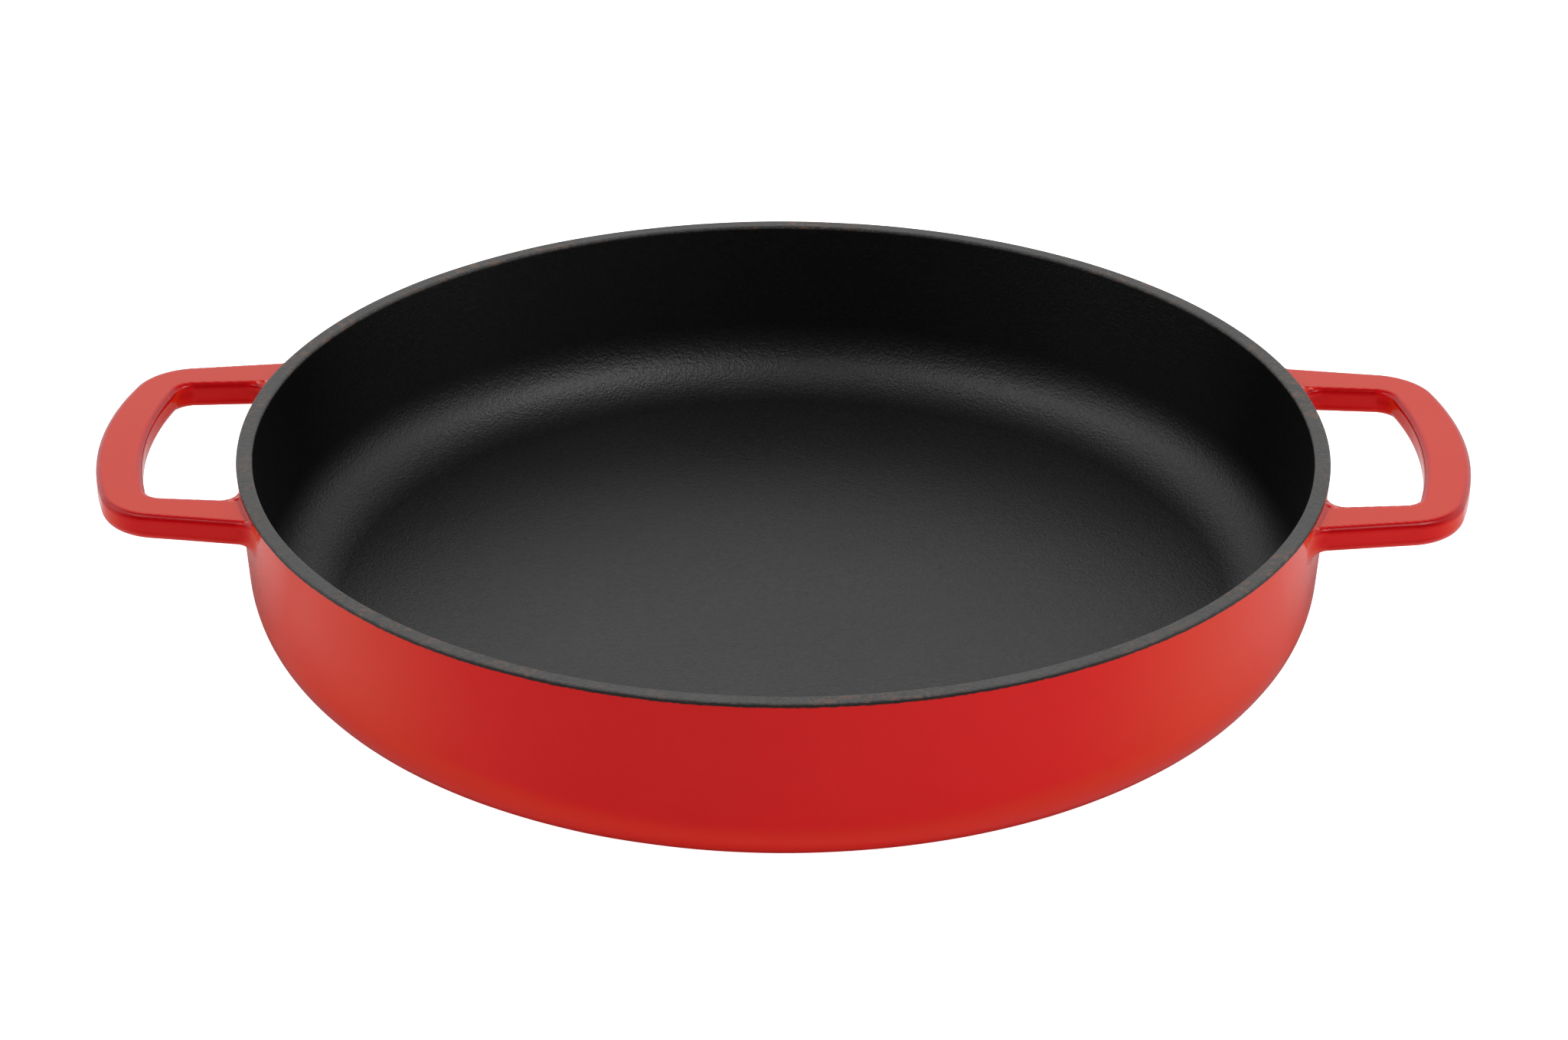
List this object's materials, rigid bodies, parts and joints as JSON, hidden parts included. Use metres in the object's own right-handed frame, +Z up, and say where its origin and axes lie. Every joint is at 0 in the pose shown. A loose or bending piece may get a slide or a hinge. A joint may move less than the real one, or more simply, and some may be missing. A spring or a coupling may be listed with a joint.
{
  "type": "two-handled cast iron skillet",
  "caption": "Shallow round enamelled cast iron pan with straight, slightly tapered walls, a bare rim, a foot ring underneath and a cast loop handle on each side.",
  "frame": {"origin": "centre of the foot ring's contact plane, on the bowl's axis", "axes": "+Z up out of the bowl; +X through the middle of one loop handle, the other is on -X; +Y across the handles"},
  "size_m": [0.3622, 0.288, 0.053],
  "materials": {
    "cast_iron": "matte",
    "red_enamel": "gloss",
    "black_enamel": "satin",
    "ground_coat": "matte"
  },
  "bodies": {
    "root": {"iron_casting": "cast_iron", "exterior_red_enamel": "red_enamel", "interior_black_enamel": "black_enamel", "rim_ground_coat": "ground_coat"}
  },
  "joints": []
}
